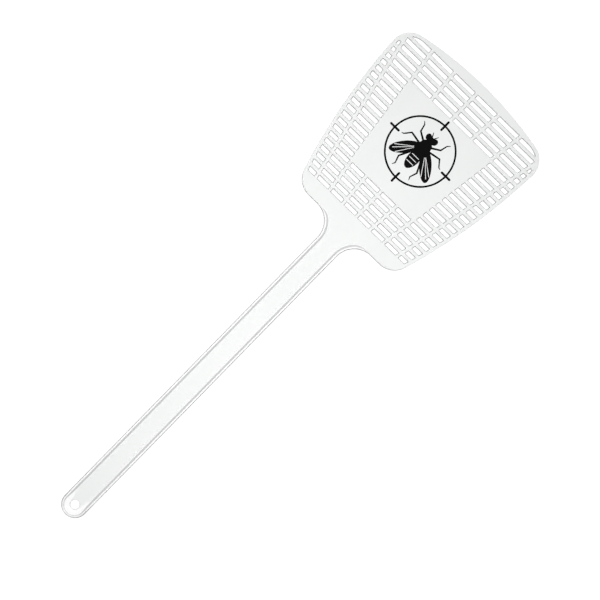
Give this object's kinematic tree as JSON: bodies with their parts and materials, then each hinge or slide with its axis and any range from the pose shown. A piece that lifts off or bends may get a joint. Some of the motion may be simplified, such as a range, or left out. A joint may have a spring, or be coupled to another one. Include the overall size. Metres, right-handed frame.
{
  "type": "fly swatter",
  "caption": "Flat moulded swatter: slotted trapezoid head with a solid printed panel, flared neck, railed strap handle, round hang end; the head flexes against the handle.",
  "frame": {"origin": "under the middle of the bounding box, on the surface the swatter lies on", "axes": "+Y along the swatter from the hang end to the tip of the head, +Z out of the printed face, +X across it to the right when the printed face is seen with the tip up"},
  "size_m": [0.1314, 0.406, 0.004],
  "materials": {
    "white_plastic": "white injection-moulded plastic, slightly translucent, soft satin gloss",
    "black_ink": "matt black pad-printing ink"
  },
  "bodies": {
    "handle": {"hang_end": "white_plastic", "handle_web": "white_plastic", "handle_rail_left": "white_plastic", "handle_rail_right": "white_plastic", "neck_web": "white_plastic", "neck_rail_left": "white_plastic", "neck_rail_right": "white_plastic", "shoulder_plate": "white_plastic"},
    "head": {"rim_left": "white_plastic", "rim_right": "white_plastic", "tip_band": "white_plastic", "grille_upper": "white_plastic", "grille_lower": "white_plastic", "grille_left": "white_plastic", "grille_right": "white_plastic", "imprint_panel": "white_plastic", "imprint_fly": "black_ink", "imprint_ring": "black_ink"}
  },
  "joints": [
    {"name": "head_flex", "type": "hinge", "parent": "handle", "child": "head", "pos_m": [0, 0.07913, 0.002], "axis": [1, 0, 0], "range_deg": [-30, 30], "stiffness_Nm_per_rad": 0.43}
  ]
}
